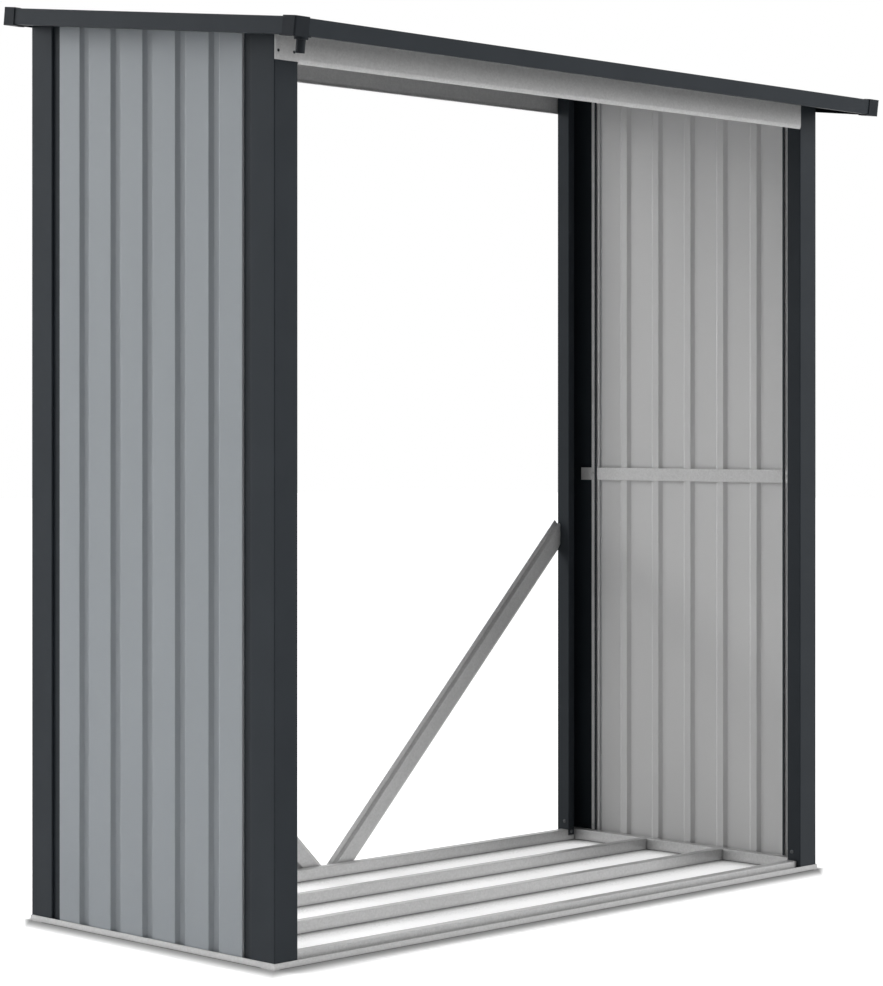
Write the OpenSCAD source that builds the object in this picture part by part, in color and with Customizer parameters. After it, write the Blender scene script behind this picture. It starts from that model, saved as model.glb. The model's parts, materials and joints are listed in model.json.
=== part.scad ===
// Open-fronted steel log store: base frame, four folded corner posts, two ribbed side walls,
// a lean-to roof that falls towards the front, and a V brace across the back.
// Millimetres, +Z up, open front towards -Y, origin on the ground below the middle of the roof.

/* [Base] */
// Width of the base over its outer lips
base_w = 1698; // [1000:1:2600]
// Depth of the base over its outer lips
base_d = 765; // [560:1:1100]
// Height of the base rails and floor rails
rail_h = 25; // [16:0.5:40]
// Height of the outer lip of the base rails
lip_h = 12.5; // [6:0.5:20]
// Width of the raised part of the base rails
rail_crown = 25; // [18:0.5:34]
// Width of the floor rails between the front and the back
floor_rail_w = 23; // [15:0.5:40]
// Thickness of the folded steel of rails, posts and beams
fold_t = 2; // [1:0.1:2.5]

/* [Posts] */
// Width of the face that a post shows to the front or back
post_face = 60; // [45:0.5:80]
// Width of the face that a post shows to the side
post_side = 69; // [55:0.5:100]
// Depth of the inner return of a post
post_return = 38; // [20:0.5:50]
// Width of the lip that closes the return
post_lip = 20; // [8:0.5:23]
// Length of the tongue of the lip below the top of the rail
post_tongue = 14; // [6:0.5:15]
// Width of the flange that covers the edge of the wall sheet
post_flange = 24; // [20:0.5:30]

/* [Walls] */
// Thickness of the wall and roof sheet
sheet_t = 1.5; // [0.8:0.1:2]
// Depth of the ribs of the wall sheet, over the sheet
wall_depth = 8; // [5:0.5:8]
// Clear width of the channel that the wall sheet stands in
channel_w = 11; // [11:0.5:14]
// Distance from one rib to the next
rib_pitch = 101.75; // [80:0.25:130]
// Width of a rib at the face of the sheet
rib_mouth = 33; // [24:0.5:44]
// Width of a rib at its floor
rib_floor = 17; // [8:0.5:22]
// Clear gap between the edges of a wall sheet and the post
seam_gap = 0.5; // [0.2:0.1:2]
// Width of the dark edge strips inside the walls
strip_w = 5.5; // [3:0.5:9]
// Distance of the edge strips from the step of the post
strip_gap = 13.5; // [8:0.5:16]
// Height of the middle of the wall rails above the ground
wall_rail_z = 917.5; // [300:0.5:1400]
// Height of the wall rails
wall_rail_h = 31; // [20:0.5:60]

/* [Roof] */
// Height of the roof's top edge at the front
roof_front_z = 1790; // [1400:1:2200]
// Slope of the roof in degrees, higher at the back
roof_pitch = 7.2; // [3:0.1:15]
// Roof overhang past the base at the front
front_overhang = 129; // [60:1:200]
// Roof overhang past the base at each side
side_overhang = 62; // [30:1:120]
// Roof overhang past the base at the back
back_overhang = 3; // [3:0.5:60]
// Height of the fascia
fascia_h = 34; // [28:0.5:60]
// Width of the fascia's upper lip over the roof sheet
fascia_top_lip = 22; // [12:0.5:30]
// Width of the lower lip of the front and side fascia
fascia_foot_lip = 12; // [6:0.5:20]
// Width of the lower hem of the back fascia, which stands close behind the posts
back_hem = 4; // [3:0.5:5]
// Depth of the ribs of the roof sheet, over the sheet
roof_depth = 10; // [6:0.5:14]
// Length of the legs of the corner caps
cap_leg = 34; // [30:0.5:60]
// Length of the foot of the corner caps past the legs
cap_foot = 7; // [2:0.5:12]
// Width of the two arms of the corner caps
cap_arm = 15; // [12:0.5:25]
// Wall thickness of the corner caps
cap_t = 1.8; // [1.5:0.1:4]
// Radius of the outer edge of the corner caps
cap_r = 3.5; // [2:0.1:5]
// Outside diameter of the rain spout
spout_d = 18; // [12:0.5:22]
// Wall thickness of the rain spout
spout_wall = 2; // [1:0.1:3]
// Length of the rain spout below its collar
spout_len = 25; // [10:0.5:60]
// Diameter of the spout's collar
collar_d = 27; // [22.5:0.5:30]
// Height of the spout's collar
collar_h = 5; // [3:0.5:10]
// Distance of the spout from the left edge of the roof
spout_x = 28; // [18:0.5:34]

/* [Beams and braces] */
// Height of the outer face of the front and back beams
beam_h = 69; // [50:0.5:100]
// Height of the lower edge of the beams, which curves in
beam_fold = 8.5; // [4:0.5:14]
// Distance that the lower edge of the beams curves in
beam_inset = 3; // [1:0.5:8]
// Diameter of the screw holes where a beam laps the post
hole_d = 6.5; // [3:0.5:8]
// Distance of the outer screw hole from the end of the beam
hole_edge = 8.5; // [6:0.5:12]
// Distance between the two screw holes
hole_pitch = 40.5; // [20:0.5:44]
// Height of the screw holes above the lower edge of the beam
hole_rise = 22; // [18:0.5:40]
// Height of the sloping rail at the top of each wall
top_rail_h = 30; // [20:0.5:50]
// Width of the sloping rail at the top of each wall
top_rail_w = 22; // [12:0.5:40]
// Width of the face of the braces
brace_face = 34; // [25:0.5:60]
// Run of the slanted edge of the braces
brace_fold = 10; // [4:0.5:14]
// Run of the slanted flank between the face and the lip of the braces
brace_flank = 6; // [3:0.5:10]
// Width of the lip of the braces
brace_lip = 11; // [6:0.5:16]
// Depth of the braces
brace_depth = 9.5; // [7:0.5:10]
// Distance from mid-length, to the left, of the line where the braces meet
brace_shift = 10; // [-40:0.5:40]
// Distance of the upper edge of a brace's face from that line at the foot
brace_foot = 7; // [0:0.5:40]
// Height at which the upper edge of the right brace's face meets the post
brace_top_z = 789; // [400:1:1200]

/* [Hidden] */
$fn = 48;
// Largest turn of one facet on the outside of a fold
bend_step = 30;
// Post corner, set in by the base lip
post_in = fold_t;
// Inner face of a post's return, from the outside of the base
return_in = post_in + post_face;
// Inner face of a post's lip, from the outside of the base
lip_in = post_in + post_return;
// Free edge of a post's wall flange, from the outside of the base
flange_end = post_in + post_side + post_flange;
// Outer face of the upright of the base rails, from the outside of the base
upright_in = fold_t + channel_w;
// Inner face of a base rail
rail_in = upright_in + rail_crown;
// Inner plane of the wall sheet, which leaves room for the wall rail in line with the channel
wall_plane = upright_in - fold_t;
// Outer face of a post's wall flange, which lies outside the edge of the sheet
flange_in = wall_plane - sheet_t - fold_t;

// Roof frame: depth on the ground and along the slope
roof_d = front_overhang + base_d + back_overhang;
slope_len = roof_d / cos(roof_pitch);
roof_w = base_w + 2 * side_overhang;
// Depth of the roof's bearing plane below its top
bearing = fold_t + roof_depth;
// Height of the roof's bearing plane above a point of the base
function bearing_z(y) = roof_front_z + (y + front_overhang) * tan(roof_pitch) - bearing / cos(roof_pitch);
// Reach of the caps to the front and to the back, which sets the middle of the whole box
reach_front = -front_overhang - cap_t * cos(roof_pitch) - cap_t * sin(roof_pitch);
reach_back = base_d + back_overhang + cap_t * cos(roof_pitch) + (fascia_h + cap_t) * sin(roof_pitch);

// Colours
anthracite = [0.20, 0.22, 0.23];
galvanised = [0.70, 0.71, 0.72];
blue_grey = [0.55, 0.58, 0.60];
plastic = [0.13, 0.14, 0.15];

// Unit vector from one point to another
function heading(a, b) = (b - a) / norm(b - a);
// Unit vector to the left of a heading
function left_of(h) = [-h[1], h[0]];
// Point of a path moved sideways by t, mitred where the path bends
function mitred(path, i, t) =
    let (last = len(path) - 1,
         n1 = left_of(heading(path[max(i - 1, 0)], path[max(i, 1)])),
         n2 = left_of(heading(path[min(i, last - 1)], path[min(i + 1, last)])))
    path[i] + t * (n1 + n2) / (1 + n1 * n2);
// Turn of a path at one of its points in degrees, positive to the left
function turn(path, i) =
    i == 0 || i == len(path) - 1 ? 0 :
    let (a = heading(path[i - 1], path[i]), b = heading(path[i], path[i + 1]))
    atan2(a[0] * b[1] - a[1] * b[0], a * b);
// Points of one side of a folded strip at a bend: its sharp inner corner, or the arc about that corner
function bend(path, i, side, t) =
    let (angle = turn(path, i),
         core = angle * t > 0 ? t : 0,
         steps = side == core ? 0 : ceil(abs(angle) / bend_step),
         n = left_of(heading(path[max(i - 1, 0)], path[max(i, 1)])),
         start = atan2(n[1], n[0]))
    steps == 0 ? [mitred(path, i, side)] :
    [for (k = [0 : steps])
        let (a = start + angle * k / steps)
        mitred(path, i, core) + (side - core) * [cos(a), sin(a)]];
// One whole side of a folded strip
function strip_side(path, side, t) = [for (i = [0 : len(path) - 1]) each bend(path, i, side, t)];
function reversed(points) = [for (i = [len(points) - 1 : -1 : 0]) points[i]];
// Outline of a folded strip: along the path, and back along the path moved by t to its left
function folded(path, t) = concat(strip_side(path, 0, t), reversed(strip_side(path, t, t)));

// Folded strip carried along X from x1 to x2, its path in Y and Z
module along_x(path, t, x1, x2) {
    translate([x1, 0, 0])
        rotate([90, 0, 90])
            linear_extrude(x2 - x1)
                polygon(folded(path, t));
}

// Folded strip carried along Y from y1 to y2, its path in X and Z
module along_y(path, t, y1, y2) {
    translate([0, y2, 0])
        rotate([90, 0, 0])
            linear_extrude(y2 - y1)
                polygon(folded(path, t));
}

// Moves the base's front left corner to its place about the origin
module on_ground() {
    translate([-base_w / 2, -(reach_front + reach_back) / 2, 0]) children();
}

// Mirror images of a front left piece
module at_right() { translate([base_w, 0, 0]) mirror([1, 0, 0]) children(); }
module at_back() { translate([0, base_d, 0]) mirror([0, 1, 0]) children(); }

// The space below the roof's bearing plane
module below_roof() {
    translate([-base_w, 0, 0])
        rotate([90, 0, 90])
            linear_extrude(3 * base_w)
                polygon([[-base_d, 0], [2 * base_d, 0],
                         [2 * base_d, bearing_z(2 * base_d)], [-base_d, bearing_z(-base_d)]]);
}

// Base frame

// Path of a whole base rail: lip, channel and raised crown, from the outside in
rail_path = [[0, lip_h], [0, 0], [upright_in + fold_t, 0], [upright_in + fold_t, rail_h - fold_t],
             [rail_in - fold_t, rail_h - fold_t], [rail_in - fold_t, 0]];

// Front rail, its channel and lip carried round the corners
module long_rail() {
    color(galvanised) union() {
        along_x(rail_path, fold_t, upright_in, base_w - upright_in);
        for (x = [0, base_w - upright_in])
            translate([x, 0, 0]) {
                cube([upright_in, rail_in, fold_t]);
                cube([upright_in, fold_t, lip_h]);
            }
        for (x = [0, base_w - fold_t])
            translate([x, 0, 0]) cube([fold_t, rail_in, lip_h]);
    }
}

// Left rail, butted between the front and back rails
module short_rail() {
    color(galvanised) along_y(rail_path, fold_t, rail_in, base_d - rail_in);
}

// Floor rail across the base, open below
module floor_rail(y) {
    path = [[y + fold_t, 0], [y + fold_t, rail_h - fold_t],
            [y + floor_rail_w - fold_t, rail_h - fold_t], [y + floor_rail_w - fold_t, 0]];
    color(galvanised) along_x(path, fold_t, rail_in, base_w - rail_in);
}
// Clear gap on each side of the two floor rails
floor_gap = (base_d - 2 * rail_in - 2 * floor_rail_w) / 3;

module front_base_rail() { on_ground() long_rail(); }
module back_base_rail() { on_ground() at_back() long_rail(); }
module left_base_rail() { on_ground() short_rail(); }
module right_base_rail() { on_ground() at_right() short_rail(); }
module front_floor_rail() { on_ground() floor_rail(rail_in + floor_gap); }
module back_floor_rail() { on_ground() floor_rail(rail_in + 2 * floor_gap + floor_rail_w); }

// Posts

// Front left post: lip, return, front face, side face, step and wall flange, folded from one strip
post_path = [[flange_in, flange_end], [flange_in, post_in + post_side], [post_in, post_in + post_side],
             [post_in, post_in], [return_in, post_in], [return_in, lip_in], [return_in - post_lip, lip_in]];

// Room for the crown of the rail at the foot of the post, which leaves a tongue of the lip
module rail_room() {
    translate([upright_in, upright_in, 0]) {
        cube([return_in, rail_crown, rail_h]);
        cube([return_in, flange_end, rail_h - post_tongue]);
    }
}
module post() {
    color(anthracite) difference() {
        translate([0, 0, fold_t])
            linear_extrude(2 * roof_front_z) polygon(folded(post_path, fold_t));
        rail_room();
    }
}
// A piece of the wall or post cut off along the roof
module under_roof() {
    intersection() {
        children();
        below_roof();
    }
}

module front_left_post() { on_ground() under_roof() post(); }
module front_right_post() { on_ground() under_roof() at_right() post(); }
module back_left_post() { on_ground() under_roof() at_back() post(); }
module back_right_post() { on_ground() under_roof() at_right() at_back() post(); }

// Walls

// Places along the wall where the sheet and its face begin
seam_start = post_in + post_side + seam_gap;
face_start = flange_end + seam_gap;
// Ribs that fit on the face with a flat on each side
wall_face = base_d - 2 * face_start;
wall_ribs = floor((wall_face - rib_pitch / 2 - rib_mouth) / rib_pitch) + 1;
face_in = wall_plane - wall_depth;
floor_in = wall_plane - sheet_t;

// One rib of the wall sheet as four points of its outer face, around y
function wall_rib(y) = [
    [face_in, y + rib_mouth / 2], [floor_in, y + rib_floor / 2],
    [floor_in, y - rib_floor / 2], [face_in, y - rib_mouth / 2]];
// Outer face of the wall sheet from back to front, each edge lying inside a post flange
wall_path = concat(
    [[floor_in, base_d - seam_start], [floor_in, base_d - face_start], [face_in, base_d - face_start]],
    [for (i = [wall_ribs - 1 : -1 : 0]) each wall_rib(base_d / 2 + (i - (wall_ribs - 1) / 2) * rib_pitch)],
    [[face_in, face_start], [floor_in, face_start], [floor_in, seam_start]]);

module wall_panel() {
    color(blue_grey) translate([0, 0, fold_t])
        linear_extrude(2 * roof_front_z) polygon(folded(wall_path, sheet_t));
}
// Edge strip that holds the wall rail against the edge of the sheet
module wall_strip() {
    color(anthracite) translate([wall_plane + fold_t, post_in + post_side + strip_gap, rail_h])
        cube([fold_t, strip_w, 2 * roof_front_z]);
}
// Flat rail across the inside of the sheet at mid-height, its ends inside the posts
module wall_rail() {
    color(galvanised) translate([wall_plane, post_return, wall_rail_z - wall_rail_h / 2])
        cube([fold_t, base_d - 2 * post_return, wall_rail_h]);
}

module left_wall_panel() { on_ground() under_roof() wall_panel(); }
module right_wall_panel() { on_ground() under_roof() at_right() wall_panel(); }
module left_wall_front_strip() { on_ground() under_roof() wall_strip(); }
module left_wall_back_strip() { on_ground() under_roof() at_back() wall_strip(); }
module right_wall_front_strip() { on_ground() under_roof() at_right() wall_strip(); }
module right_wall_back_strip() { on_ground() under_roof() at_right() at_back() wall_strip(); }
module left_wall_rail() { on_ground() wall_rail(); }
module right_wall_rail() { on_ground() at_right() wall_rail(); }

// Beams and top rails

// Beam with its outer face at y = 0: an angle whose lower edge curves in between the posts,
// and a plate with two screw holes that laps the left post
module beam(z1, top_a, top_b) {
    angle = [[lip_in, top_b], [0, top_a], [0, z1 + beam_fold],
             [beam_inset / 4, z1 + beam_fold / 2], [beam_inset, z1]];
    plate = [[0, top_a], [0, z1 + beam_fold / 2]];
    color(galvanised) difference() {
        union() {
            along_x(angle, fold_t, return_in, base_w - return_in);
            along_x(plate, fold_t, post_in, return_in);
        }
        for (x = [0, hole_pitch])
            translate([post_in + hole_edge + x, 2 * fold_t, z1 + hole_rise])
                rotate([90, 0, 0]) cylinder(d = hole_d, h = 3 * fold_t);
    }
}
front_beam_z = bearing_z(0) - beam_h;
back_beam_z = bearing_z(base_d) - beam_h;
// The back beam is the same piece turned round, its upper flange lying along the roof
module front_top_beam() { on_ground() beam(front_beam_z, bearing_z(0), bearing_z(lip_in)); }
module back_top_beam() {
    on_ground() translate([base_w, base_d, 0]) rotate([0, 0, 180])
        beam(back_beam_z, bearing_z(base_d), bearing_z(base_d - lip_in));
}

// Angle along the top of a wall, following the roof
module top_rail() {
    color(galvanised) under_roof() union() {
        for (leg = [[fold_t, top_rail_h], [top_rail_w, fold_t]])
            translate([wall_plane, 0, 0])
                rotate([90, 0, 90])
                    linear_extrude(leg[0])
                        polygon([for (p = [[flange_end, -leg[1]], [base_d - flange_end, -leg[1]],
                                           [base_d - flange_end, fold_t], [flange_end, fold_t]])
                                 [p[0], bearing_z(p[0]) + p[1]]]);
    }
}
module left_top_rail() { on_ground() top_rail(); }
module right_top_rail() { on_ground() at_right() top_rail(); }

// Braces

// Path of the right brace across its face and depth: slanted edge, face, slanted flank and lip
brace_front = base_d - fold_t - brace_depth;
brace_back = base_d - 2 * fold_t;
brace_path = [[-brace_face - brace_fold, brace_back], [-brace_face, brace_front], [0, brace_front],
              [brace_flank, brace_back], [brace_flank + brace_lip, brace_back]];
// The left brace has the same section the other way up, its lip below
turned_path = [for (p = brace_path) [-brace_face - p[0], p[1]]];
brace_x = base_w / 2 - brace_shift;
brace_run = base_w - return_in - brace_x - brace_foot;
brace_rise = brace_top_z - fold_t;
brace_angle = atan2(brace_rise, brace_run);
brace_len = norm([brace_run, brace_rise]);

// Brace that rises to the right from x = 0 in the channel of the back rail to a post at reach,
// cut upright at both ends, what stands above its face cut square at the top
module brace(path, t, reach) {
    color(galvanised) intersection() {
        translate([brace_foot, 0, fold_t])
            rotate([0, -brace_angle, 0])
                difference() {
                    translate([-base_d, 0, 0])
                        rotate([90, 0, 90])
                            linear_extrude(2 * base_d + brace_len)
                                polygon([for (p = folded(path, t)) [p[1], p[0]]]);
                    translate([brace_len, 0, fold_t])
                        cube([base_d, 2 * base_d, brace_face]);
                }
        translate([0, 0, fold_t])
            cube([reach, base_d, 2 * brace_top_z]);
    }
}
module right_brace() {
    on_ground() translate([brace_x, 0, 0])
        brace(brace_path, fold_t, base_w - return_in - brace_x);
}
module left_brace() {
    on_ground() translate([brace_x, 0, 0]) mirror([1, 0, 0])
        brace(turned_path, -fold_t, brace_x - return_in);
}

// Roof, in its own frame: x as the base, y up the slope, z = 0 at the top

module on_slope() {
    on_ground()
        translate([-side_overhang, -front_overhang, roof_front_z])
            rotate([roof_pitch, 0, 0])
                children();
}
module roof_right() { translate([roof_w, 0, 0]) mirror([1, 0, 0]) children(); }
module roof_back() { translate([0, slope_len, 0]) mirror([0, 1, 0]) children(); }

// Ribs that fit across the roof with a flat on each side
roof_ribs = floor((roof_w - 2 * fold_t - rib_pitch / 2 - rib_mouth) / rib_pitch) + 1;
pan_z = -bearing;
crest_z = -fold_t - sheet_t;
// One rib of the roof sheet as four points of its lower face, around x
function roof_rib(x) = [
    [x - rib_mouth / 2, pan_z], [x - rib_floor / 2, crest_z],
    [x + rib_floor / 2, crest_z], [x + rib_mouth / 2, pan_z]];
roof_path = concat(
    [[fold_t, pan_z]],
    [for (i = [0 : roof_ribs - 1]) each roof_rib(roof_w / 2 + (i - (roof_ribs - 1) / 2) * rib_pitch)],
    [[roof_w - fold_t, pan_z]]);
module roof_sheet() {
    on_slope() color(anthracite) along_y(roof_path, sheet_t, fold_t, slope_len - fold_t);
}

// Path of a fascia from the lower lip round the outside to the upper lip
function fascia_path(foot) = [[foot, -fascia_h], [0, -fascia_h], [0, 0], [fascia_top_lip, 0]];
module long_fascia(foot) { color(anthracite) along_x(fascia_path(foot), -fold_t, 0, roof_w); }
module short_fascia() {
    color(anthracite)
        along_y(fascia_path(fascia_foot_lip), -fold_t, fascia_top_lip, slope_len - fascia_top_lip);
}
module front_fascia() {
    on_slope() difference() {
        long_fascia(fascia_foot_lip);
        drain();
    }
}
module back_fascia() { on_slope() roof_back() long_fascia(back_hem); }
module left_fascia() { on_slope() short_fascia(); }
module right_fascia() { on_slope() roof_right() short_fascia(); }

// Square with its outer corner rounded
module cap_plan(size, r) {
    union() {
        translate([r, 0]) square([size - r, size]);
        translate([0, r]) square([size, size - r]);
        translate([r, r]) circle(r);
    }
}
// Front left corner cap: two arms over the fascia's corner, open to the inside, on a longer foot
module cap() {
    color(plastic) difference() {
        translate([-cap_t, -cap_t, -fascia_h - cap_t]) {
            linear_extrude(fascia_h + 2 * cap_t) cap_plan(cap_leg + cap_t, cap_r);
            linear_extrude(cap_t) cap_plan(cap_leg + cap_foot + cap_t, cap_r);
        }
        translate([0, 0, -fascia_h]) cube([2 * cap_leg, 2 * cap_leg, fascia_h]);
        translate([cap_arm, cap_arm, -2 * fascia_h]) cube([2 * cap_leg, 2 * cap_leg, 3 * fascia_h]);
    }
}
module front_left_cap() {
    on_slope() difference() {
        cap();
        drain();
    }
}
module front_right_cap() { on_slope() roof_right() cap(); }
module back_left_cap() { on_slope() roof_back() cap(); }
module back_right_cap() { on_slope() roof_right() roof_back() cap(); }

// Spout that drains the front fascia through the front left cap
module at_spout() { translate([spout_x, collar_d / 2 - cap_t, -fascia_h - cap_t - collar_h]) children(); }
// Its bore, which goes on through the cap's foot and the fascia's lower lip
module drain() {
    at_spout() translate([0, 0, -2 * spout_len])
        cylinder(d = spout_d - 2 * spout_wall, h = 2 * spout_len + collar_h + cap_t + 2 * fold_t);
}
module rain_spout() {
    on_slope() color(plastic) difference() {
        at_spout() {
            cylinder(d = collar_d, h = collar_h);
            translate([0, 0, -spout_len]) cylinder(d = spout_d, h = spout_len + collar_h);
        }
        drain();
    }
}

front_base_rail();
back_base_rail();
left_base_rail();
right_base_rail();
front_floor_rail();
back_floor_rail();
front_left_post();
front_right_post();
back_left_post();
back_right_post();
left_wall_panel();
right_wall_panel();
left_wall_front_strip();
left_wall_back_strip();
right_wall_front_strip();
right_wall_back_strip();
left_wall_rail();
right_wall_rail();
front_top_beam();
back_top_beam();
left_top_rail();
right_top_rail();
left_brace();
right_brace();
roof_sheet();
front_fascia();
back_fascia();
left_fascia();
right_fascia();
front_left_cap();
front_right_cap();
back_left_cap();
back_right_cap();
rain_spout();
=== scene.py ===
"""Looks of the steel log store: finishes for the CAD pieces, fixings, stage, light and camera.

Metres, +Z up, open front towards -Y, origin on the ground below the middle of the roof.
"""
import json
import math

import bpy
import numpy as np
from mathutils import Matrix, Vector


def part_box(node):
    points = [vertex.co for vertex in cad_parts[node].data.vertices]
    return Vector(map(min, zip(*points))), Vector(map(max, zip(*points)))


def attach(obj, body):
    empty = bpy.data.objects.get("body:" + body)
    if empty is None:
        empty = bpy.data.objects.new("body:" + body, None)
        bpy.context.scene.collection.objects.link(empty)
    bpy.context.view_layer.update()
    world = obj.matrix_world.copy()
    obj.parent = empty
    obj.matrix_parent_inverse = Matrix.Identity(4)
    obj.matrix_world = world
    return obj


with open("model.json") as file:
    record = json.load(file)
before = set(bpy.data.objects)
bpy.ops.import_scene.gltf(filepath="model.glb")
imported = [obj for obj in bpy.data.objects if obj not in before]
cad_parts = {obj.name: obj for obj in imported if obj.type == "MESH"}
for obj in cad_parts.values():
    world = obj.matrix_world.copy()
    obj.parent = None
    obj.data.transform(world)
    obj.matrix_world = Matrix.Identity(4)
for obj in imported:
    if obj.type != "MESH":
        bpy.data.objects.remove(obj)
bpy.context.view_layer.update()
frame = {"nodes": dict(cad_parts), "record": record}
nodes = frame["nodes"]


# Finishes

# Patterns in patches or grains a metre, reliefs as depth in metres and strength
COAT_CLOUDS, COAT_GLOSS = 9, 45
COAT_RELIEF = (0.0001, 0.15)
COAT_SPECULAR = 0.2
SHEET_STREAKS, STREAK_STRETCH = 5, (1, 1, 0.3)
SHEET_GLOSS, SHEET_ROUGH = 60, (0.34, 0.46)
SHEET_GRAIN, SHEET_RELIEF = 900, (0.00006, 0.2)
SHEET_SPECULAR = 0.35
# Half the range of the surface's direction over which a sheet's two coats meet
COAT_EDGE = 0.05
ZINC_GRAIN, ZINC_RELIEF = 700, (0.00005, 0.1)
ZINC_METALLIC = 0.35
# In tight corners zinc carries a painted shade: there it keeps CORNER_SHADE_LEVEL of its darker
# tone, and the painted shade clears over CORNER_OPEN, a range of openness within CORNER_REACH
CORNER_REACH, CORNER_OPEN, CORNER_SHADE_LEVEL = 0.008, (0.2, 0.9), 0.4
OPENNESS_RAYS = 6


def srgb(red, green, blue):
    """Linear colour of an sRGB level from 0 to 255: the power curve, straight near black."""
    level = np.array([red, green, blue]) / 255
    line = np.where(level <= 0.04045, level / 12.92, ((level + 0.055) / 1.055) ** 2.4)
    return tuple(float(c) for c in line) + (1.0,)


def start_finish(name):
    """An empty finish: its material, node tree, shader and Object coordinates."""
    material = bpy.data.materials.new(name)
    material.use_nodes = True
    tree = material.node_tree
    place = tree.nodes.new("ShaderNodeTexCoord")
    return material, tree, tree.nodes["Principled BSDF"], place


def mottle(tree, place, scale, detail=2.0, stretch=(1, 1, 1)):
    """Cloudy pattern, 0 to 1, in Object coordinates, scale patches a metre, stretched by axis."""
    mapping = tree.nodes.new("ShaderNodeMapping")
    mapping.inputs["Scale"].default_value = stretch
    tree.links.new(place.outputs["Object"], mapping.inputs["Vector"])
    noise = tree.nodes.new("ShaderNodeTexNoise")
    noise.inputs["Scale"].default_value = scale
    noise.inputs["Detail"].default_value = detail
    tree.links.new(mapping.outputs["Vector"], noise.inputs["Vector"])
    return noise.outputs["Fac"]


def spangle(tree, place, scale):
    """Crystal pattern of a zinc coat: one random grey for each cell, scale cells a metre."""
    cells = tree.nodes.new("ShaderNodeTexVoronoi")
    cells.inputs["Scale"].default_value = scale
    tree.links.new(place.outputs["Object"], cells.inputs["Vector"])
    split = tree.nodes.new("ShaderNodeSeparateColor")
    tree.links.new(cells.outputs["Color"], split.inputs["Color"])
    return split.outputs["Red"]


def between(tree, pattern, low, high, start=0.3, end=0.7, kind="LINEAR"):
    """A pattern's values from start to end, spread over low to high."""
    spread = tree.nodes.new("ShaderNodeMapRange")
    spread.interpolation_type = kind
    spread.inputs["From Min"].default_value = start
    spread.inputs["From Max"].default_value = end
    spread.inputs["To Min"].default_value = low
    spread.inputs["To Max"].default_value = high
    tree.links.new(pattern, spread.inputs["Value"])
    return spread.outputs["Result"]


def blend(tree, share, first, second):
    """Mix of two colours, each a fixed colour or another output, by a share from 0 to 1."""
    mix = tree.nodes.new("ShaderNodeMix")
    mix.data_type = "RGBA"
    tree.links.new(share, mix.inputs["Factor"])
    for name, colour in (("A", first), ("B", second)):
        socket = [s for s in mix.inputs if s.name == name and s.type == "RGBA"][0]
        if isinstance(colour, tuple):
            socket.default_value = colour
        else:
            tree.links.new(colour, socket)
    return [s for s in mix.outputs if s.type == "RGBA"][0]


def relief(tree, shader, pattern, depth, strength):
    """Fine bump of a pattern, depth in metres."""
    bump = tree.nodes.new("ShaderNodeBump")
    bump.inputs["Distance"].default_value = depth
    bump.inputs["Strength"].default_value = strength
    tree.links.new(pattern, bump.inputs["Height"])
    tree.links.new(bump.outputs["Normal"], shader.inputs["Normal"])


def number_step(tree, operation, first, second):
    """One sum of a first output and a second output or number."""
    node = tree.nodes.new("ShaderNodeMath")
    node.operation = operation
    tree.links.new(first, node.inputs[0])
    if isinstance(second, float):
        node.inputs[1].default_value = second
    else:
        tree.links.new(second, node.inputs[1])
    return node.outputs["Value"]


def vector_step(tree, operation, first, second=None):
    """One vector sum of a first output and, where it takes two, a second output or fixed vector."""
    node = tree.nodes.new("ShaderNodeVectorMath")
    node.operation = operation
    tree.links.new(first, node.inputs[0])
    if isinstance(second, bpy.types.NodeSocket):
        tree.links.new(second, node.inputs[1])
    elif second is not None:
        node.inputs[1].default_value = second
    return node.outputs["Value" if operation in ("LENGTH", "DOT_PRODUCT") else "Vector"]


def openness(tree, reach):
    """How open a point lies, 0 in a tight corner to 1 in the clear, looking as far as reach."""
    around = tree.nodes.new("ShaderNodeAmbientOcclusion")
    around.samples = OPENNESS_RAYS
    around.inputs["Distance"].default_value = reach
    return around.outputs["AO"]


def coat_finish(name, dark, light, rough, peel):
    """Powder coat: two close tones in soft clouds, roughness that wanders, and orange peel."""
    material, tree, shader, place = start_finish(name)
    clouds = between(tree, mottle(tree, place, COAT_CLOUDS), 0, 1)
    tree.links.new(blend(tree, clouds, dark, light), shader.inputs["Base Color"])
    gloss = mottle(tree, place, COAT_GLOSS)
    tree.links.new(between(tree, gloss, *rough), shader.inputs["Roughness"])
    relief(tree, shader, mottle(tree, place, peel, 1.0), *COAT_RELIEF)
    shader.inputs["Specular IOR Level"].default_value = COAT_SPECULAR
    return material


def zinc_finish(name, dark, light, rough, cells):
    """Galvanised steel: spangle cells in two close greys and glosses; painted shade in corners."""
    material, tree, shader, place = start_finish(name)
    crystals = spangle(tree, place, cells)
    # Painted shade: the zinc's colour darkens where a point lies in a tight corner
    clear = between(tree, openness(tree, CORNER_REACH), 0, 1, *CORNER_OPEN)
    corner_shade_tone = tuple(CORNER_SHADE_LEVEL * c for c in dark[:3]) + (1.0,)
    tones = blend(tree, crystals, dark, light)
    tree.links.new(blend(tree, clear, corner_shade_tone, tones), shader.inputs["Base Color"])
    tree.links.new(between(tree, crystals, *rough, start=0, end=1), shader.inputs["Roughness"])
    relief(tree, shader, mottle(tree, place, ZINC_GRAIN), *ZINC_RELIEF)
    shader.inputs["Metallic"].default_value = ZINC_METALLIC
    return material


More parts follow.
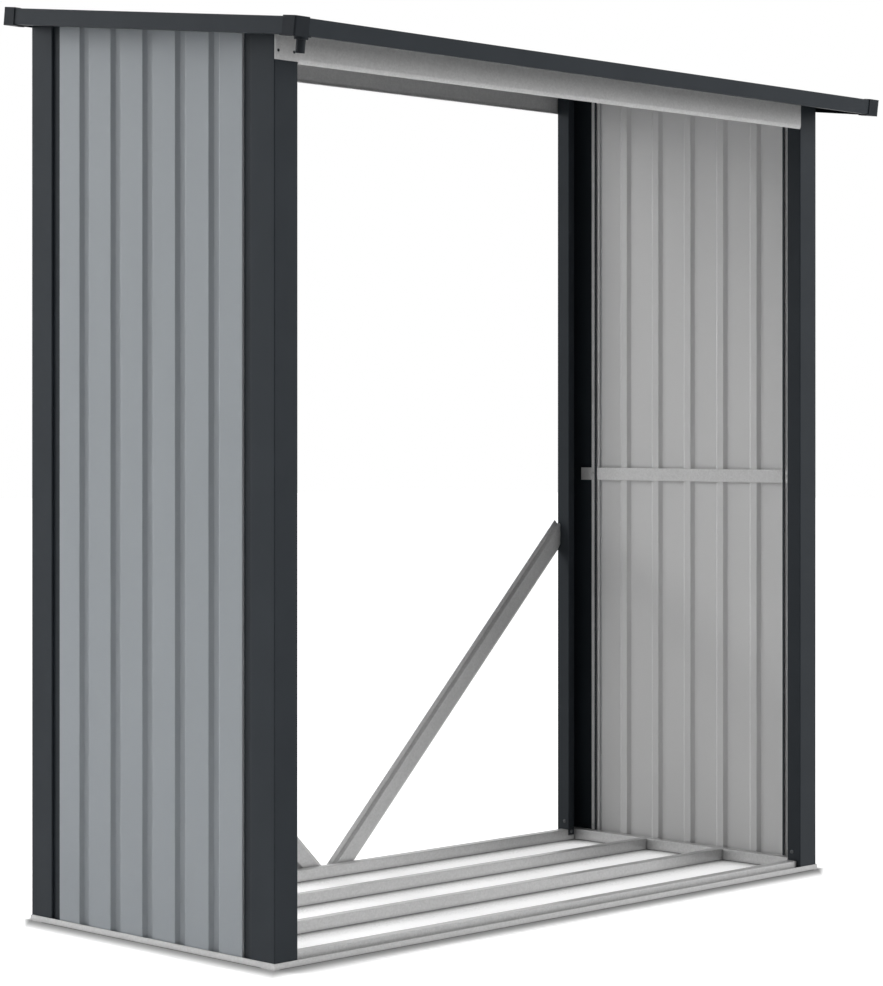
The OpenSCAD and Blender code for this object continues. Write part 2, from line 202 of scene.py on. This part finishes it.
def sheet_finish(name, outward, outside, inside):
    """Coil-coated sheet: one coat where it faces outward along X, a back coat elsewhere."""
    material, tree, shader, place = start_finish(name)
    axes = tree.nodes.new("ShaderNodeSeparateXYZ")
    tree.links.new(place.outputs["Normal"], axes.inputs["Vector"])
    facing = between(tree, axes.outputs["X"], 0, 1, -COAT_EDGE * outward, COAT_EDGE * outward)
    streaks = between(tree, mottle(tree, place, SHEET_STREAKS, stretch=STREAK_STRETCH), 0, 1)
    coats = [blend(tree, streaks, *pair) for pair in (inside, outside)]
    tree.links.new(blend(tree, facing, *coats), shader.inputs["Base Color"])
    gloss = mottle(tree, place, SHEET_GLOSS)
    tree.links.new(between(tree, gloss, *SHEET_ROUGH), shader.inputs["Roughness"])
    relief(tree, shader, mottle(tree, place, SHEET_GRAIN, 1.0), *SHEET_RELIEF)
    shader.inputs["Specular IOR Level"].default_value = SHEET_SPECULAR
    return material


anthracite = coat_finish("anthracite_coat", srgb(37, 42, 47), srgb(40, 45, 50), (0.34, 0.42), 900)
plastic = coat_finish("cap_plastic", srgb(26, 30, 35), srgb(30, 34, 39), (0.42, 0.54), 1500)
zinc = zinc_finish("zinc_coat", srgb(193, 193, 193), srgb(204, 204, 204), (0.34, 0.42), 260)
# Copies of the zinc for screws: the lighter as a painted highlight, the darker as painted shade
highlit_zinc = zinc_finish("highlit_screws", srgb(206, 207, 206), srgb(220, 221, 220),
                          (0.22, 0.3), 900)
shaded_zinc = zinc_finish("shaded_screws", srgb(92, 95, 98), srgb(104, 107, 110), (0.3, 0.4), 900)
OUTSIDE = (srgb(140, 145, 149), srgb(142, 147, 151))
INSIDE = (srgb(207, 207, 207), srgb(210, 210, 210))
left_sheet = sheet_finish("left_wall_coat", -1, OUTSIDE, INSIDE)
right_sheet = sheet_finish("right_wall_coat", 1, OUTSIDE, INSIDE)

SLOT_FINISH = {"anthracite_steel": anthracite, "galvanised_steel": zinc, "black_plastic": plastic}
WALL_FINISH = {"left_wall_panel": left_sheet, "right_wall_panel": right_sheet}

for part in frame["record"]["subparts"]:
    name = part["node"]
    finish = WALL_FINISH.get(name) or SLOT_FINISH[part["material_slot"]]
    nodes[name].data.materials.clear()
    nodes[name].data.materials.append(finish)


# Fixings

HEAD_R = 0.0045
HEAD_H = 0.0024
HEAD_CURVE = 2.6
HEAD_SUNK = 0.0002
HEAD_ROWS, HEAD_COLUMNS = 12, 32
# The innermost ring of a head, as a share of the way out
HEAD_TIP = 0.04
# The cross in a head: its depth in head heights, and its width, reach and run-out in head radii
CROSS_DEPTH, CROSS_WIDTH, CROSS_REACH, CROSS_FADE = 0.5, 0.13, 0.62, 0.2


def pan_heads(name, places, facing, finish):
    """Screw heads at places, all facing along one level unit vector.

    A head is a profile turned round its axis: a dome HEAD_H * sqrt(1 - (r / HEAD_R) ** HEAD_CURVE)
    high, closed by a flat back just below the surface that carries it. A cross is sunk into the
    dome, as deep as a bell curve of the distance to the nearer of two lines across the head.
    """
    rows, columns = HEAD_ROWS, HEAD_COLUMNS
    climb = np.linspace(HEAD_TIP, 1, rows)[:, None]
    turn = np.linspace(0, 2 * math.pi, columns, endpoint=False)[None, :]
    r = HEAD_R * np.sin(climb * math.pi / 2)
    dome = HEAD_H * np.sqrt(np.clip(1 - (r / HEAD_R) ** HEAD_CURVE, 0, 1))
    across, along = r * np.cos(turn), r * np.sin(turn)
    line = np.minimum(np.abs(across), np.abs(along)) / (CROSS_WIDTH * HEAD_R)
    reach = np.clip((CROSS_REACH - r / HEAD_R) / CROSS_FADE, 0, 1)
    out = dome - CROSS_DEPTH * HEAD_H * reach * np.exp(-line ** 2)
    across, along = (np.vstack([grid, grid[-1:]]) for grid in (across, along))
    out = np.vstack([out, np.full((1, columns), -HEAD_SUNK)])
    axis = np.array(facing, float)
    side = np.cross([0, 0, 1], axis)
    head = (across[..., None] * side + along[..., None] * np.cross(axis, side)
            + out[..., None] * axis)
    points = (np.array(places)[:, None, :] + head.reshape(1, -1, 3)).reshape(-1, 3)
    ring, step = np.meshgrid(np.arange(rows), np.arange(columns), indexing="ij")
    after = (step + 1) % columns
    quads = np.stack([ring * columns + step, (ring + 1) * columns + step,
                      (ring + 1) * columns + after, ring * columns + after], -1).reshape(-1, 4)
    front = np.arange(columns)
    back = (rows * columns + front)[::-1]
    faces = []
    for first in np.arange(len(places)) * (rows + 1) * columns:
        faces += (quads + first).tolist() + [(front + first).tolist(), (back + first).tolist()]
    mesh = bpy.data.meshes.new(name)
    mesh.from_pydata(points.tolist(), [], faces)
    mesh.materials.append(finish)
    piece = bpy.data.objects.new(name, mesh)
    bpy.context.scene.collection.objects.link(piece)
    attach(piece, "root")


# Places of the screws from the outside of the base, and their heights
RAIL_SCREW_Y = 0.077
EDGE_SCREW_Y, EDGE_SCREW_Z = 0.078, 0.036
RETURN_SCREW_Y, RETURN_SCREW_Z = 0.026, 0.045
TONGUE_SCREW_X, TONGUE_SCREW_Z = 0.0526, 0.020
RETURN_DEPTH = 0.038

base_low, base_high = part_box("front_base_rail")[0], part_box("back_base_rail")[1]
for wall, inward in (("left", 1), ("right", -1)):
    rail_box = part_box(wall + "_wall_rail")
    post_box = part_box("front_" + wall + "_post")
    edge_x, rail_x = [box[0] for box in rail_box[::inward]]
    return_x = post_box[::inward][1][0]
    rail_z = (rail_box[0][2] + rail_box[1][2]) / 2
    for kind, x, inset, z, finish in (
            ("wall_rail", rail_x, RAIL_SCREW_Y, rail_z, highlit_zinc),
            ("sheet_edge", edge_x, EDGE_SCREW_Y, EDGE_SCREW_Z, highlit_zinc),
            ("post_return", return_x, RETURN_SCREW_Y, RETURN_SCREW_Z, shaded_zinc)):
        ends = (base_low[1] + inset, base_high[1] - inset)
        pan_heads(wall + "_" + kind + "_screws", [(x, y, z) for y in ends], (inward, 0, 0), finish)
for side, inward in (("front", 1), ("back", -1)):
    post_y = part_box(side + "_left_post")[::inward][0][1]
    ends = (base_low[0] + TONGUE_SCREW_X, base_high[0] - TONGUE_SCREW_X)
    places = [(x, post_y + inward * RETURN_DEPTH, TONGUE_SCREW_Z) for x in ends]
    pan_heads(side + "_tongue_screws", places, (0, inward, 0), shaded_zinc)


# Stage, light and camera

def studio_floor(size):
    """Flat square of that size at z = 0: a grid of two by two points."""
    side = np.array([-size / 2, size / 2])
    x, y = np.meshgrid(side, side)
    points = np.stack([x, y, np.zeros_like(x)], -1).reshape(-1, 3)
    mesh = bpy.data.meshes.new("studio_floor")
    mesh.from_pydata(points.tolist(), [], [(0, 1, 3, 2)])
    floor = bpy.data.objects.new("studio_floor", mesh)
    bpy.context.scene.collection.objects.link(floor)
    return floor


def seen_by(tree, rays, lit, shown):
    """Shows one shader to these rays, named as outputs of the light path, and lit to the rest."""
    path = tree.nodes.new("ShaderNodeLightPath")
    seen = path.outputs[rays[0]]
    for other in rays[1:]:
        seen = number_step(tree, "MAXIMUM", seen, path.outputs[other])
    mix = tree.nodes.new("ShaderNodeMixShader")
    tree.links.new(seen, mix.inputs["Fac"])
    tree.links.new(lit, mix.inputs[1])
    tree.links.new(shown, mix.inputs[2])
    return mix.outputs["Shader"]


MIRROR_RAYS = ("Is Glossy Ray",)
EYE_RAYS = ("Is Camera Ray", "Is Transmission Ray")
FLOOR_SIZE = 60.0
# To the camera the floor is part lit, part glowing, and carries painted shade beside the base
# and in its nooks. The painted shadow outside falls to the front and left, and is shorter by
# FAR_SIDE past the other sides.
# Past BASE_LINE a point lies outside the base, and a shade may be as light as SHADE_TOP.
FLOOR_GAIN, FLOOR_GLOW = 0.45, 0.62
EDGE_SHADE, EDGE_REACH, FAR_SIDE = (0.27, 1.65), 0.105, 2.5
NOOK_REACH, NOOK_POWER = 0.08, 4.5
BASE_LINE = 0.0005
SHADE_TOP = 2
# What the floor gives back as light, how rough it is, and how light it is in reflections
FLOOR_MATTE, FLOOR_ROUGH, FLOOR_MIRRORED = 0.82, 0.9, 0.9
floor = studio_floor(FLOOR_SIZE)
floor_paint = bpy.data.materials.new("floor_paint")
floor_paint.use_nodes = True
tree = floor_paint.node_tree
matte = tree.nodes["Principled BSDF"]
matte.inputs["Base Color"].default_value = (FLOOR_MATTE, FLOOR_MATTE, FLOOR_MATTE, 1)
matte.inputs["Roughness"].default_value = FLOOR_ROUGH
matte.inputs["Specular IOR Level"].default_value = 0.0
pale = tree.nodes.new("ShaderNodeBsdfDiffuse")
glow = tree.nodes.new("ShaderNodeEmission")
spot = tree.nodes.new("ShaderNodeTexCoord").outputs["Object"]
near = vector_step(tree, "SUBTRACT", spot, base_low)
near = vector_step(tree, "MULTIPLY", near, (-1, -1, 0))
axes = tree.nodes.new("ShaderNodeSeparateXYZ")
tree.links.new(vector_step(tree, "MAXIMUM", near, (0, 0, 0)), axes.inputs["Vector"])
cast = number_step(tree, "MAXIMUM", axes.outputs["X"], axes.outputs["Y"])
far = vector_step(tree, "SUBTRACT", vector_step(tree, "ADD", spot, cast), base_high)
far = vector_step(tree, "MULTIPLY", far, (FAR_SIDE, FAR_SIDE, 0))
far = vector_step(tree, "LENGTH", vector_step(tree, "MAXIMUM", far, (0, 0, 0)))
outside = number_step(tree, "ADD", cast, far)
# Painted shadow beside the base and painted shade in its nooks
edge = between(tree, outside, *EDGE_SHADE, 0, EDGE_REACH, "SMOOTHSTEP")
nook = number_step(tree, "POWER", openness(tree, NOOK_REACH), NOOK_POWER)
shade = blend(tree, number_step(tree, "GREATER_THAN", outside, BASE_LINE), nook, edge)
for level, socket in ((FLOOR_GAIN, pale.inputs["Color"]), (FLOOR_GLOW, glow.inputs["Strength"])):
    tree.links.new(between(tree, shade, 0, SHADE_TOP * level, 0, SHADE_TOP), socket)
bright = tree.nodes.new("ShaderNodeAddShader")
tree.links.new(pale.outputs["BSDF"], bright.inputs[0])
tree.links.new(glow.outputs["Emission"], bright.inputs[1])
white = tree.nodes.new("ShaderNodeEmission")
white.inputs["Strength"].default_value = FLOOR_MIRRORED
around = seen_by(tree, MIRROR_RAYS, matte.outputs["BSDF"], white.outputs["Emission"])
shown = seen_by(tree, EYE_RAYS, around, bright.outputs["Shader"])
tree.links.new(shown, tree.nodes["Material Output"].inputs["Surface"])
floor.data.materials.append(floor_paint)

# The studio is dim on the side that the photo was taken from, as light and in reflections
TO_EYE = (-0.7105, -0.7037, 0)
AMBIENT = (0.39, 0.12)
MIRRORED = (1.0, 0.25)
world = bpy.data.worlds.new("studio")
bpy.context.scene.world = world
world.use_nodes = True
tree = world.node_tree
heading = tree.nodes.new("ShaderNodeTexCoord").outputs["Generated"]
towards_eye = vector_step(tree, "DOT_PRODUCT", heading, TO_EYE)
ambient = tree.nodes["Background"]
mirrored = tree.nodes.new("ShaderNodeBackground")
backdrop = tree.nodes.new("ShaderNodeBackground")
for background, levels in ((ambient, AMBIENT), (mirrored, MIRRORED)):
    background.inputs["Color"].default_value = (1, 1, 1, 1)
    tree.links.new(between(tree, towards_eye, *levels, 0, 1), background.inputs["Strength"])
backdrop.inputs["Color"].default_value = (1, 1, 1, 1)
backdrop.inputs["Strength"].default_value = 1.0
around = seen_by(tree, MIRROR_RAYS, ambient.outputs["Background"], mirrored.outputs["Background"])
shown = seen_by(tree, EYE_RAYS, around, backdrop.outputs["Background"])
tree.links.new(shown, tree.nodes["World Output"].inputs["Surface"])


def soft_box(name, place, aim, size, power, spread=180):
    """Square lamp at place, turned to aim, its beam as wide as spread, kept out of reflections."""
    data = bpy.data.lights.new(name, "AREA")
    data.energy = power
    data.size = size
    data.spread = math.radians(spread)
    lamp = bpy.data.objects.new(name, data)
    bpy.context.scene.collection.objects.link(lamp)
    away = np.array(place) - np.array(aim)
    lamp.location = place
    lamp.visible_glossy = False
    lamp.rotation_euler = (math.acos(away[2] / np.linalg.norm(away)), 0,
                           math.atan2(away[1], away[0]) + math.pi / 2)


MIDDLE = (0, 0, 0.95)
LEFT_AIM = (-2.3, 0, 0.95)
# Lamps left and right of the camera's line, so that what faces the camera squarely is darkest
soft_box("left_lamp", (-2.6, 6.1, 2.9), LEFT_AIM, 2.4, 97, 50)
soft_box("back_lamp", (-4.4, 5.8, 4.2), MIDDLE, 6.0, 190)
soft_box("right_lamp", (4.8, -7.3, 3.0), MIDDLE, 4.2, 450)

# Camera fitted to the photo's two vanishing points, level; the photo's long side is 986 pixels
LONG_SIDE = 986
FOCAL_PIXELS = 2732.2
HORIZON_ABOVE_CENTRE = 60.55
EYE_FROM_CORNER = (-3.4576, -3.8699, 1.021)
HEADING = -45.28
lens = bpy.data.cameras.new("photo_view")
lens.sensor_width = 36
lens.lens = lens.sensor_width * FOCAL_PIXELS / LONG_SIDE
lens.shift_y = -HORIZON_ABOVE_CENTRE / LONG_SIDE
lens.clip_end = 100
camera = bpy.data.objects.new("photo_view", lens)
bpy.context.scene.collection.objects.link(camera)
camera.location = [a + b for a, b in zip(base_low, EYE_FROM_CORNER)]
camera.rotation_euler = (math.radians(90), 0, math.radians(HEADING))
bpy.context.scene.camera = camera
bpy.context.scene.view_settings.view_transform = "Standard"
